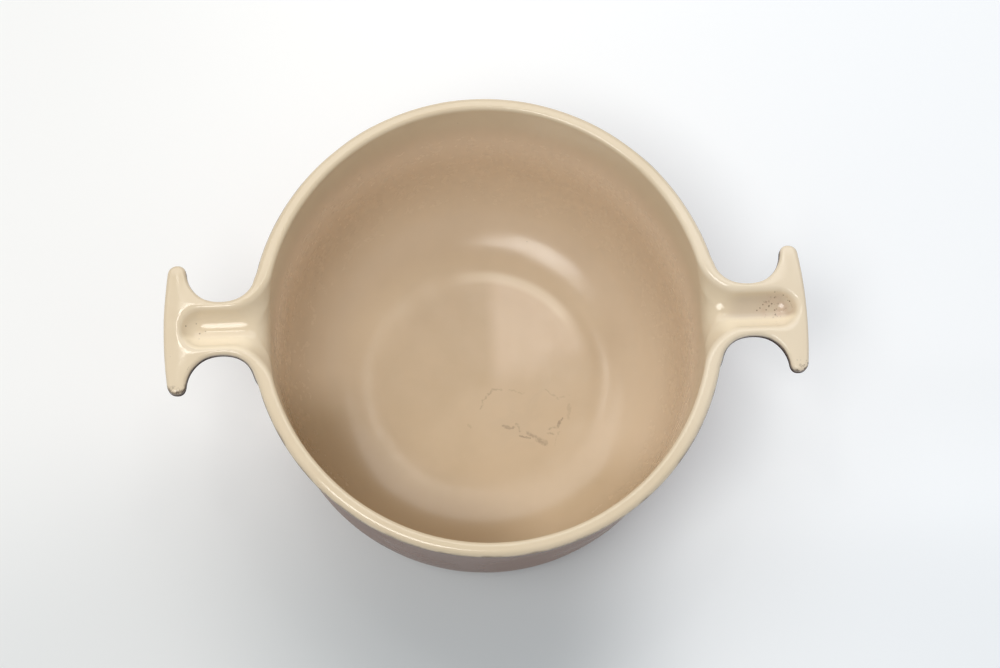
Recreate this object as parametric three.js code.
// Enamelled cast-iron casserole base: a round cooking pot with two T-shaped handles cast in one piece
// with it, each with a trough that runs out of the rim. Millimetres, +Z up.
// Origin: centre of the foot ring's resting plane. X runs through both handles.
//
// The pot's visible skin is the zero level of one signed-distance field. The coats are the bands just
// under that skin, so each coat sits on the one beneath it with the same facets and no gap.
// Fields and rings measure z from the rim plane: 0 at the rim, negative below. Solid adds HEIGHT.
import * as THREE from 'three';

// ---------------------------------------------------------------- driving dimensions
const HEIGHT = 130;          // foot ring to rim
const OVAL = 1.023;          // the pot is this much wider along Y than along X
const OVAL_LIP = 1.014;      // the same for the lip's outside
const RIM_OUT = 128.4;       // outer radius of the rim's lip, along X
const LIP_HIGH = 4.6;        // depths between which the lip runs back into the wall
const LIP_LOW = 9.5;

// radius: at the rim plane, along X; draft: lean of the wall, mm per mm; corner: radius where wall
// meets base; softness: 2 is a plain round corner, more eases it into the floor and the wall;
// depth: rim to floor
const BOWL = { radius: 120, draft: 0.05, corner: 57, softness: 2.6, depth: 123.7, lip: 0 };
const POT = { radius: 126.8, draft: 0.07, corner: 32, softness: 2, depth: 128.5 };
POT.lip = RIM_OUT - POT.radius + POT.draft * LIP_HIGH;

const FOOT_R = 80;           // middle of the foot ring
const FOOT_HALF = 3.5;       // half its width
const FOOT_EDGE_R = 0.8;     // rounding of its lower edges
const FOOT_EMBED = 6;        // how far its field reaches up into the base
const FOOT_BLEND = 1.5;      // blend of foot ring into base

const TOP_EDGE_R = 1.8;      // rounding of the handles' outer top edge
const LIP_EDGE_R = 3.2;      // and of the rim's
const IN_EDGE_R = 2.4;       // rounding of the rim's inner edge
const HANDLE_START = 119;    // |x| where rim edges start to turn into handle edges
const HANDLE_RUN = 15;       // length of that change

const T_EDGE_X = 174.8;      // outermost edge of a handle
const T_EDGE_R = 247;        // its bow
const T_HALF = 36.2;         // half length of a T bar
const TIP_R = 4.4;           // rounding of the T bar's ends
const NOTCH_X = 143.9;       // centre of the finger notch between T bar and pot
const NOTCH_Y = 33.3;
const NOTCH_R = 18.9;
const ROOT_R = 3;            // rounding where the notch runs out into the pot's side
const ROOT_HALF = 30.5;      // half width of a handle there
const ROOT_RUN = 14;         // length over which T bar sizes change to root sizes
const PLATE_T = 8.5;         // thickness of the T bar
const PLATE_EDGE_R = 3;      // rounding of its lower edge
const HULL_R = 13;           // rounded keel under the trough
const HULL_Z = -1;
const HULL_END = 157;
const KEEL_BLEND = 5;        // blend of keel into plate
const ROOT_BLEND_TOP = 1.5;  // blend of handle into pot near the rim
const ROOT_BLEND = 12;       // and lower down
const ROOT_BLEND_START = 3;  // depth where the blend starts to widen
const ROOT_BLEND_RUN = 9;    // depth over which it widens

const TROUGH_R = 11;         // U-shaped trough in each handle's top
const TROUGH_Z = 2.6;
const TROUGH_END_L = 154.5;  // where the rounded end starts, -X and +X handle
const TROUGH_END_R = 159;
const SPILL_TOP = 21.7;      // fillet of trough into pot, at rim level
const SPILL_LOW = 11;        // and at the trough's floor
const SPILL_DEPTH = 9;       // depth over which the fillet narrows

const SEAM_RIM = 5.6;        // how far down the cream enamel reaches, on the rim
const SEAM_HANDLE = 4.2;     // and on the handles' edges
const SEAM_GAP = 0.55;       // height of the bare ground coat between cream and brown
const COVER_T = 0.35;        // cover enamel
const GROUND_T = 0.15;       // ground coat

// ---------------------------------------------------------------- combining distances
const hyp = Math.hypot;
const clamp = (value, low, high) => Math.min(Math.max(value, low), high);
const lerp = (from, to, share) => from + (to - from) * share;

function roundIntersect(radius, ...distances) {
  let deepest = -Infinity;
  let sum = 0;
  for (const distance of distances) {
    deepest = Math.max(deepest, distance);
    const excess = Math.max(distance + radius, 0);
    sum += excess * excess;
  }
  return Math.min(-radius, deepest) + Math.sqrt(sum);
}
function roundUnion(radius, a, b) {
  return Math.max(radius, Math.min(a, b)) - hyp(Math.max(radius - a, 0), Math.max(radius - b, 0));
}
function blendUnion(width, a, b) {
  const overlap = Math.max(width - Math.abs(a - b), 0) / width;
  return Math.min(a, b) - overlap * overlap * width / 4;
}

// ---------------------------------------------------------------- the pot's field
// 1 down to where the lip starts to run back, 0 from where it has met the wall
function lipShare(z) {
  const t = clamp((z + LIP_LOW) / (LIP_LOW - LIP_HIGH), 0, 1);
  return t * t * (3 - 2 * t);
}
function vessel(rho, z, { radius, draft, corner, depth, lip, softness }) {
  const side = rho - (radius + draft * z + lip * lipShare(z)) + corner;
  const floor = -depth - z + corner;
  const sum = Math.max(side, 0) ** softness + Math.max(floor, 0) ** softness;
  return Math.min(Math.max(side, floor), 0) + sum ** (1 / softness) - corner;
}
// outline of a handle seen from above, absX and absY folding all four quarters into one
function handlePlan(absX, absY) {
  const edge = absX - (T_EDGE_X - absY * absY / (2 * T_EDGE_R));
  const notch = NOTCH_R - hyp(absX - NOTCH_X, absY - NOTCH_Y);
  const root = clamp((NOTCH_X - absX) / ROOT_RUN + 0.5, 0, 1);
  const end = absY - T_HALF - (ROOT_HALF - T_HALF) * root;
  return roundIntersect(lerp(TIP_R, ROOT_R, root), edge, notch, end);
}
function handleBody(absX, absY, z) {
  const plate = roundIntersect(PLATE_EDGE_R, handlePlan(absX, absY), -PLATE_T - z);
  const keel = hyp(Math.max(absX - HULL_END, 0), absY, Math.min(z - HULL_Z, 0)) - HULL_R;
  return blendUnion(KEEL_BLEND, plate, keel);
}
// pot, handles and foot ring as one lump, neither hollowed nor cut off at the rim
function outerBody(x, y, z) {
  const rho = hyp(x, y / lerp(OVAL, OVAL_LIP, lipShare(z)));
  const handle = handleBody(Math.abs(x), Math.abs(y), z);
  const rootShare = clamp((-z - ROOT_BLEND_START) / ROOT_BLEND_RUN, 0, 1);
  const rootBlend = lerp(ROOT_BLEND_TOP, ROOT_BLEND, rootShare);
  const foot = roundIntersect(FOOT_EDGE_R, Math.abs(rho - FOOT_R) - FOOT_HALF, -HEIGHT - z);
  const potAndHandles = blendUnion(rootBlend, vessel(rho, z, POT), handle);
  return blendUnion(FOOT_BLEND, potAndHandles, Math.max(foot, z + POT.depth - FOOT_EMBED));
}
// the bowl's inside and both troughs
function hollow(x, y, z) {
  const bowl = vessel(hyp(x, y / OVAL), z, BOWL);
  const end = x < 0 ? TROUGH_END_L : TROUGH_END_R;
  const trough = hyp(Math.max(Math.abs(x) - end, 0), y, Math.min(z - TROUGH_Z, 0)) - TROUGH_R;
  const spill = lerp(SPILL_TOP, SPILL_LOW, clamp(-z / SPILL_DEPTH, 0, 1));
  return roundUnion(spill, bowl, trough);
}
const aroundHollow = (x, y, z) => -hollow(x, y, z);

// 1 on the handles, 0 on the plain rim
const onHandle = (x) => clamp((Math.abs(x) - HANDLE_START) / HANDLE_RUN, 0, 1);
const topEdgeRadius = (x) => lerp(LIP_EDGE_R, TOP_EDGE_R, onHandle(x));

function skin(x, y, z) {
  const capped = roundIntersect(topEdgeRadius(x), outerBody(x, y, z), z);
  return roundIntersect(IN_EDGE_R, capped, aroundHollow(x, y, z));
}

// Moves a point along the field's gradient until it lies on the given level.
const SETTLE = {
  steps: 14,
  probe: 0.004,              // half the distance between gradient samples
  tolerance: 1e-7,
  minSlope2: 0.2,            // floor of the squared gradient, against overshoot in creases
  maxStep: 4,
};
function settle([x, y, z], level, field = skin) {
  const e = SETTLE.probe;
  for (let i = 0; i < SETTLE.steps; i++) {
    const miss = field(x, y, z) - level;
    if (Math.abs(miss) < SETTLE.tolerance) break;
    const gx = (field(x + e, y, z) - field(x - e, y, z)) / (2 * e);
    const gy = (field(x, y + e, z) - field(x, y - e, z)) / (2 * e);
    const gz = (field(x, y, z + e) - field(x, y, z - e)) / (2 * e);
    const slope2 = Math.max(gx * gx + gy * gy + gz * gz, SETTLE.minSlope2);
    const step = clamp(miss / slope2, -SETTLE.maxStep, SETTLE.maxStep);
    x -= step * gx;
    y -= step * gy;
    z -= step * gz;
  }
  return [x, y, z];
}

// ---------------------------------------------------------------- columns round the pot
// Each column pairs a point of the outer outline with a point of the rim's inner line and an angle on
// the wall. Quarter table, from a handle's middle (first row) to where the plain rim starts (last row).
const QUARTER = [
  // outline x, y     inner line x, y     wall angle
  [174.8, 0, 169.2, 0, 0],
  [174.2, 15, 168.3, 4.8, 0.9],
  [172.9, 28, 166.3, 8.2, 1.6],
  [171.4, 34.3, 164.4, 9.9, 2.1],
  [168, 36.2, 162.3, 11, 2.6],
  [164.8, 34.8, 160.6, 11.6, 3.0],
  [162.9, 30.5, 158.4, 12, 3.5],
  [158.6, 21.4, 151.6, 12, 4.2],
  [151.2, 15.9, 144.4, 12, 5.2],
  [142.5, 14.6, 136.6, 12, 6.6],
  [134.6, 17.2, 128.8, 13.7, 8.6],
  [128.6, 23.2, 122.2, 19.6, 11.4],
  [124.9, 31.5, 117.7, 28.8, 15.8],
  [118.6, 46.5, 111.2, 45.5, 21.6],
];
const RIM_ANGLES = [31, 42.8, 54.6, 66.4, 78.2, 90];   // columns on the plain rim beyond the table
const LOW_ROWS = [0, 8, 11, 12];       // handle rows that carry on down the wall; rim rows all do
const OUTLINE_Z = -4;                  // heights where the rounding of the outer
const INNER_Z = -1.6;                  // and of the inner edge is taken to end

function wallPoint(radius, degrees) {
  const angle = degrees * (Math.PI / 180);
  return [radius * Math.cos(angle), radius * OVAL * Math.sin(angle)];
}
const quarterRows = [
  ...QUARTER.map(([ox, oy, ix, iy, angle]) => ({ outline: [ox, oy], inner: [ix, iy], angle })),
  ...RIM_ANGLES.map((angle) => ({
    outline: wallPoint(RIM_OUT, angle),
    inner: wallPoint(BOWL.radius, angle),
    angle,
  })),
];
const QUARTER_STEPS = quarterRows.length - 1;

// unit vector in plan along which a plan field rises
function planNormal(field, [x, y]) {
  const e = 0.01;
  const gx = field(x + e, y) - field(x - e, y);
  const gy = field(x, y + e) - field(x, y - e);
  const length = hyp(gx, gy);
  return [gx / length, gy / length];
}
// one column: a quarter row mirrored by the signs, its guesses settled onto the true lines
function makeColumn(row, signX, signY, step) {
  const source = quarterRows[row];
  const mirror = ([x, y]) => [x * signX, y * signY];
  const bodyPlan = (x, y) => outerBody(x, y, OUTLINE_Z);
  const hollowPlan = (x, y) => hollow(x, y, INNER_Z);
  const outline = settle([...mirror(source.outline), OUTLINE_Z], 0, bodyPlan).slice(0, 2);
  const inner = settle([...mirror(source.inner), INNER_Z], 0, hollowPlan).slice(0, 2);
  const onRim = row >= QUARTER.length - 1;
  return {
    turn: step / (4 * QUARTER_STEPS),                   // share of the way round
    outline,
    inner,
    outlineNormal: planNormal(bodyPlan, outline),       // away from the pot
    innerNormal: planNormal(hollowPlan, inner),         // away from the hollow
    landAtOutline: hollowPlan(...outline),              // width of the top face
    landAtInner: -bodyPlan(...inner),
    onRim,
    reachesFloor: onRim || LOW_ROWS.includes(row),
    wall: (radius) => mirror(wallPoint(radius, source.angle)),
  };
}
// counter-clockwise seen from above, starting in the middle of the +X handle
function makeColumns() {
  const n = QUARTER_STEPS;
  const list = [];
  for (let k = 0; k < n; k++) list.push(makeColumn(k, 1, 1, k));
  for (let k = n; k > 0; k--) list.push(makeColumn(k, -1, 1, 2 * n - k));
  for (let k = 0; k < n; k++) list.push(makeColumn(k, -1, -1, 2 * n + k));
  for (let k = n; k > 0; k--) list.push(makeColumn(k, 1, -1, 4 * n - k));
  return list;
}
const columns = makeColumns();
const lowColumns = columns.filter((column) => column.reachesFloor);

// ---------------------------------------------------------------- rings, floor centre to base centre
// Each ring holds one point per column on three levels: skin, top of the ground coat, iron.
// The functions that add a ring return its index.
const LEVELS = { skin: 0, ground: -COVER_T, iron: -COVER_T - GROUND_T };
const rings = [];

// guess gives a rough point for a column, which is settled on the field
function addRing(cols, guess, field = skin) {
  const surface = cols.map((column) => settle(guess(column), 0, field));
  const ring = { turns: cols.map((column) => column.turn) };
  for (const [name, level] of Object.entries(LEVELS)) {
    ring[name] = surface.map((point) => settle(point, level, field));
  }
  return rings.push(ring) - 1;
}
// uncoated iron, ground flat on the resting plane
function addBareRing(radius) {
  const iron = lowColumns.map((column) => [...column.wall(radius), -HEIGHT]);
  return rings.push({ turns: lowColumns.map((column) => column.turn), iron }) - 1;
}
// a single point on the Z axis
function addPole(z) {
  const ring = { turns: [0], pole: true };
  for (const [name, level] of Object.entries(LEVELS)) {
    ring[name] = [[0, 0, settle([0, 0, z], level)[2]]];
  }
  return rings.push(ring) - 1;
}
const onWall = (radius, z) => (column) => [...column.wall(radius), z];
const onOutline = (drop) => (column) => [...column.outline, seamZ(column) - drop];

// lower edge of the cream enamel
const seamZ = (column) => -lerp(SEAM_RIM, SEAM_HANDLE, onHandle(column.outline[0]));

function lerpPlan(a, b, share) {
  return [lerp(a[0], b[0], share), lerp(a[1], b[1], share)];
}
function shift([x, y], normal, distance) {
  return [x + normal[0] * distance, y + normal[1] * distance];
}
// a ring round a vessel's corner; share 0 is the floor end, 1 the wall end
function addCornerRing({ radius, draft, corner, depth, softness }, share) {
  const angle = share * Math.PI / 2;
  const power = 2 / softness;
  const centreZ = -depth + corner;
  const centreR = radius + draft * centreZ - corner;
  const r = centreR + corner * Math.max(Math.sin(angle), 0) ** power;
  const z = centreZ - corner * Math.max(Math.cos(angle), 0) ** power;
  addRing(lowColumns, onWall(r, z));
}

// inside of the bowl, from the floor up
const FLOOR_CENTRE = addPole(-BOWL.depth);
addRing(lowColumns, onWall(46, -BOWL.depth));
for (const share of [0, 0.26, 0.5, 0.75, 1]) addCornerRing(BOWL, share);
addRing(lowColumns, onWall(BOWL.radius, -26));

// from the wall up over the trough's spill to the rim's inner edge
const SPILL_PATH = [
  // share of inner line to wall, offset of the wall radius, z
  [1, 2.2, -15], [0.84, 0, -11.5], [0.62, 0, -10], [0.36, 0, -9], [0.14, 0, -5.5],
];
for (const [share, offset, z] of SPILL_PATH) {
  addRing(columns, (column) => {
    return [...lerpPlan(column.inner, column.wall(BOWL.radius + offset), share), z];
  }, aroundHollow);
}

// over the top face; edge rings clear the rounding but stay apart where the face is narrow
const EDGE_CLEAR = 0.15;
const LAND_SHARE = 0.42;
addRing(columns, (column) => [...column.inner, -1.4]);
addRing(columns, ({ inner, innerNormal, landAtInner }) => {
  const inset = Math.min(IN_EDGE_R + EDGE_CLEAR, landAtInner * LAND_SHARE);
  return [...shift(inner, innerNormal, inset), 0];
});
addRing(columns, ({ outline, outlineNormal, landAtOutline }) => {
  const inset = Math.min(topEdgeRadius(outline[0]) + EDGE_CLEAR, landAtOutline * LAND_SHARE);
  return [...shift(outline, outlineNormal, -inset), 0];
});

// down the outer edge, across the colour seam and round to the underside
const UNDER_INSET = 2.1;               // from the outline to the first ring underneath
const KEEL_INSET = 2;                  // from the inner line to the keel's ring
const underEdge = ({ outline, outlineNormal }) => shift(outline, outlineNormal, -UNDER_INSET);
const CREAM_END = addRing(columns, onOutline(0), outerBody);
const BROWN_START = addRing(columns, onOutline(SEAM_GAP), outerBody);
addRing(columns, onOutline(1.7), outerBody);
addRing(columns, (column) => [...underEdge(column), -PLATE_T], outerBody);

// under the T bar to the keel, then along the keel and down its blend into the wall
const KEEL_PATH = [
  // share of edge to keel, share of that to wall, offset of the wall radius, z
  [0.4, 0, 0, -9.2], [0.8, 0, 0, -11], [1, 0.35, 0, -13], [1, 0.7, 0, -15], [1, 1, 3.4, -19],
];
for (const [keelShare, wallShare, offset, z] of KEEL_PATH) {
  addRing(columns, (column) => {
    const wall = column.wall(RIM_OUT + offset);
    if (column.onRim) return [...wall, z];
    const keel = shift(column.inner, column.innerNormal, -KEEL_INSET);
    const under = lerpPlan(underEdge(column), keel, keelShare);
    return [...lerpPlan(under, wall, wallShare), z];
  }, outerBody);
}

// down the outer wall to the foot ring; guesses start from the lip's radius
addRing(lowColumns, onWall(RIM_OUT, -30));
for (const share of [1, 0.75, 0.5, 0.25, 0]) addCornerRing({ ...POT, radius: RIM_OUT }, share);
const BROWN_END = rings.length - 1;

const FOOT_SIDE_Z = -POT.depth - 0.75;
const FOOT_SIDE_OFF = 0.1;             // of the guess, outside the foot ring's sides
const FOOT_FLAT_INSET = 0.5;           // of the flat resting face from those sides
const FOOT_OUT = FOOT_R + FOOT_HALF;
const FOOT_IN = FOOT_R - FOOT_HALF;
const GROUND_END = addRing(lowColumns, onWall(FOOT_OUT + FOOT_SIDE_OFF, FOOT_SIDE_Z));
addBareRing(FOOT_OUT - FOOT_FLAT_INSET);
addBareRing(FOOT_IN + FOOT_FLAT_INSET);
const BASE_START = addRing(lowColumns, onWall(FOOT_IN - FOOT_SIDE_OFF, FOOT_SIDE_Z));

// underside, inside the foot ring
addRing(lowColumns, onWall(FOOT_IN - 2.6, -POT.depth));
addRing(lowColumns, onWall(40, -POT.depth));
const BASE_CENTRE = addPole(-POT.depth);

// ---------------------------------------------------------------- solids from rings
function distance2(p, q) {
  return (p[0] - q[0]) ** 2 + (p[1] - q[1]) ** 2 + (p[2] - q[2]) ** 2;
}
// Triangles between two rings, the same for every level; quads split along their shorter diagonal.
// A corner is [0 or 1 for the first or second ring, point index].
function stitch(first, second) {
  const triangles = [];
  const countA = first.turns.length;
  const countB = second.turns.length;
  if (first.pole) {
    for (let j = 0; j < countB; j++) triangles.push([[0, 0], [1, j], [1, (j + 1) % countB]]);
    return triangles;
  }
  if (second.pole) {
    for (let i = 0; i < countA; i++) triangles.push([[0, i], [1, 0], [0, (i + 1) % countA]]);
    return triangles;
  }
  // turn of the point after index k: 1 closes the ring, infinite once it is used up
  const turnAfter = (turns, k) => (k < turns.length ? turns[k + 1] ?? 1 : Infinity);
  let i = 0;
  let j = 0;
  while (i < countA || j < countB) {
    const turnA = turnAfter(first.turns, i);
    const turnB = turnAfter(second.turns, j);
    const a = [0, i % countA];
    const nextA = [0, (i + 1) % countA];
    const b = [1, j % countB];
    const nextB = [1, (j + 1) % countB];
    if (Math.abs(turnA - turnB) < 1e-9) {
      const forward = distance2(first.iron[a[1]], second.iron[nextB[1]]);
      const backward = distance2(first.iron[nextA[1]], second.iron[b[1]]);
      if (forward <= backward + 1e-6) triangles.push([a, b, nextB], [a, nextB, nextA]);
      else triangles.push([a, b, nextA], [nextA, b, nextB]);
      i++;
      j++;
    } else if (turnA < turnB) {
      triangles.push([a, b, nextA]);
      i++;
    } else {
      triangles.push([a, b, nextB]);
      j++;
    }
  }
  return triangles;
}
const bands = rings.slice(0, -1).map((ring, k) => stitch(ring, rings[k + 1]));

class Solid {
  constructor() {
    this.positions = [];
    this.indices = [];
    this.known = new Map();
  }
  // index of a ring's point on a level, added on first use
  vertex(level, k, n) {
    const key = `${level}:${k}:${n}`;
    if (!this.known.has(key)) {
      const [x, y, z] = rings[k][level][n];
      this.known.set(key, this.positions.length / 3);
      this.positions.push(x, y, z + HEIGHT);
    }
    return this.known.get(key);
  }
  // one level's surface from ring to ring
  surface(from, to, level, flip) {
    for (let k = from; k < to; k++) {
      for (const triangle of bands[k]) {
        const [a, b, c] = triangle.map(([side, n]) => this.vertex(level, k + side, n));
        this.indices.push(...(flip ? [a, c, b] : [a, b, c]));
      }
    }
  }
  // closes a coat's open edge at ring k, between its outer and inner level
  closeEdge(k, outer, inner, atEnd) {
    const count = rings[k].turns.length;
    for (let i = 0; i < count; i++) {
      const j = (i + 1) % count;
      const a = this.vertex(outer, k, i);
      const b = this.vertex(outer, k, j);
      const c = this.vertex(inner, k, i);
      const d = this.vertex(inner, k, j);
      this.indices.push(...(atEnd ? [a, c, d, a, d, b] : [a, d, c, a, b, d]));
    }
  }
  geometry() {
    const geometry = new THREE.BufferGeometry();
    geometry.setAttribute('position', new THREE.Float32BufferAttribute(this.positions, 3));
    geometry.setIndex(this.indices);
    geometry.computeVertexNormals();
    return geometry;
  }
}
function casting() {
  const solid = new Solid();
  solid.surface(FLOOR_CENTRE, BASE_CENTRE, 'iron', false);
  return solid.geometry();
}
function coat(from, to, outer, inner) {
  const solid = new Solid();
  solid.surface(from, to, outer, false);
  solid.surface(from, to, inner, true);
  if (!rings[from].pole) solid.closeEdge(from, outer, inner, false);
  if (!rings[to].pole) solid.closeEdge(to, outer, inner, true);
  return solid.geometry();
}

// ---------------------------------------------------------------- pieces
const MATERIALS = {
  iron: { color: 0x3a3836, roughness: 0.65, metalness: 0.6 },
  ground: { color: 0x2b211d, roughness: 0.45, metalness: 0 },
  cream: { color: 0xe9d9bd, roughness: 0.22, metalness: 0 },
  brown: { color: 0x6a4a3c, roughness: 0.25, metalness: 0 },
  base: { color: 0x2b211d, roughness: 0.5, metalness: 0 },
};
const group = new THREE.Group();
function add(name, geometry, material) {
  const mesh = new THREE.Mesh(geometry, new THREE.MeshStandardMaterial(material));
  mesh.name = name;
  group.add(mesh);
}

// one grey-iron casting: bowl, rim, both T handles and the ground foot ring
add('iron_casting', casting(), MATERIALS.iron);

// dark base coat over all of the casting down to the foot ring
add('ground_coat', coat(FLOOR_CENTRE, GROUND_END, 'ground', 'iron'), MATERIALS.ground);

// cream cover enamel: inside, rim, troughs and the handles' top faces
add('interior_enamel', coat(FLOOR_CENTRE, CREAM_END, 'skin', 'ground'), MATERIALS.cream);

// brown cover enamel: outer wall, handle edges and undersides
add('exterior_enamel', coat(BROWN_START, BROWN_END, 'skin', 'ground'), MATERIALS.brown);

// base coat on the underside, inside the foot ring
add('base_ground_coat', coat(BASE_START, BASE_CENTRE, 'ground', 'iron'), MATERIALS.base);

export default group;
